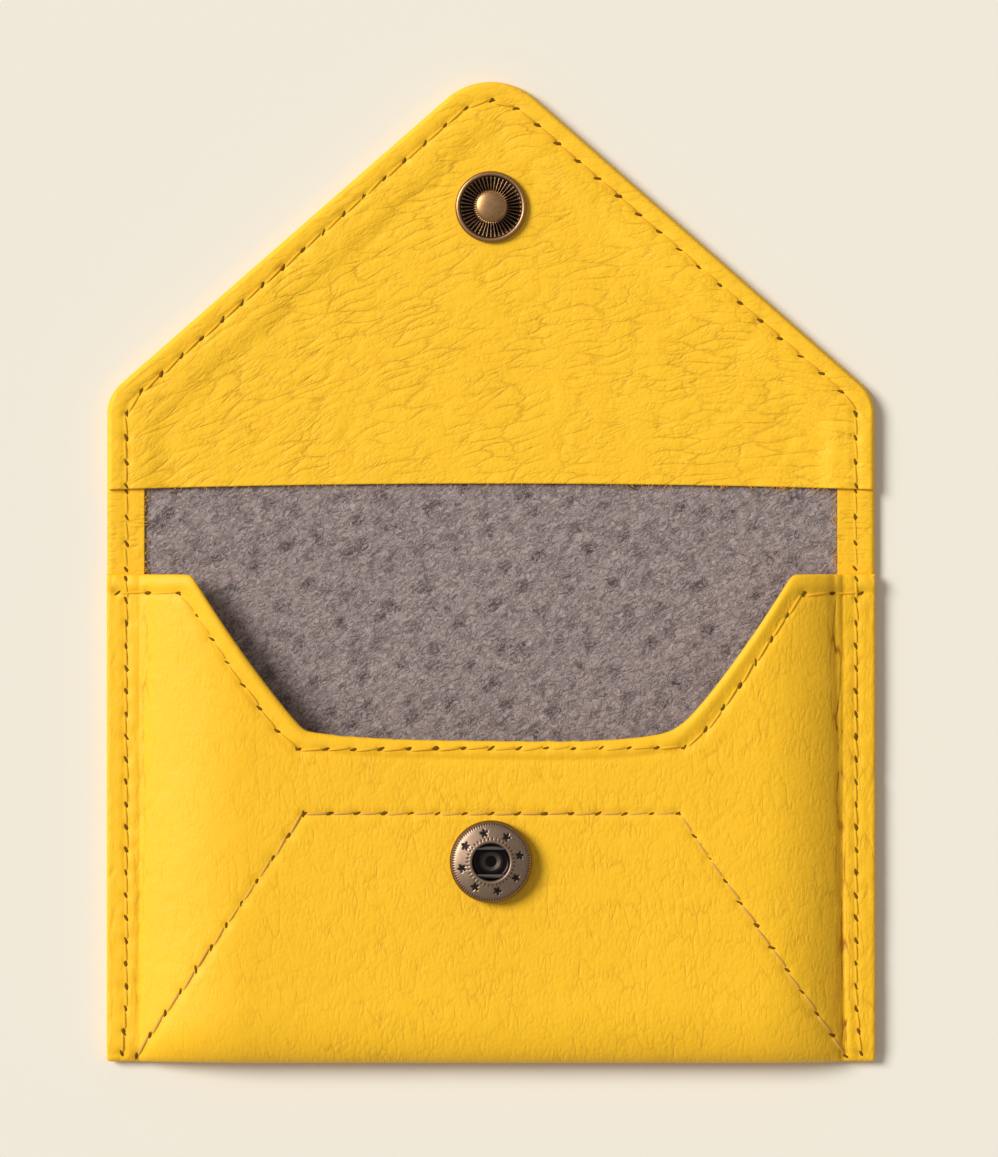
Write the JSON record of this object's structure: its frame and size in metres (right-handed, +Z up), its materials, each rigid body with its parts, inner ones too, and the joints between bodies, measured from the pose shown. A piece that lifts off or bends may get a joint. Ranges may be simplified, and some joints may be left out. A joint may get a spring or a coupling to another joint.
{
  "type": "envelope wallet",
  "caption": "Flat leather envelope wallet lying open on its back: one puffed pocket with a trapezoid mouth, and a pointed flap that folds over and closes with a spring snap.",
  "frame": {"origin": "centre of the open wallet's bounding box, on the table it lies on", "axes": "+Z up from the table, out of the pocket's front; +Y towards the tip of the open flap; +X to the right seen from above"},
  "size_m": [0.1142, 0.1456, 0.0104],
  "materials": {
    "yellow_leather": "satin, fine grain",
    "taupe_suede": "napped suede",
    "aged_brass": "antiqued, buffed on the high spots",
    "spring_steel": "drawn wire"
  },
  "bodies": {
    "pocket": {"shell": "yellow_leather", "pocket_lining": "taupe_suede", "socket_cap": "aged_brass", "snap_socket": "aged_brass", "snap_spring": "spring_steel"},
    "flap": {"flap_outer": "yellow_leather", "flap_lining": "taupe_suede", "flap_facing": "yellow_leather", "stud_post": "aged_brass", "snap_stud": "aged_brass"}
  },
  "joints": [
    {"name": "flap_fold", "type": "hinge", "parent": "pocket", "child": "flap", "pos_m": [0, 0.00555, 0.0046], "axis": [1, 0, 0], "range_deg": [0, 174.92]}
  ]
}
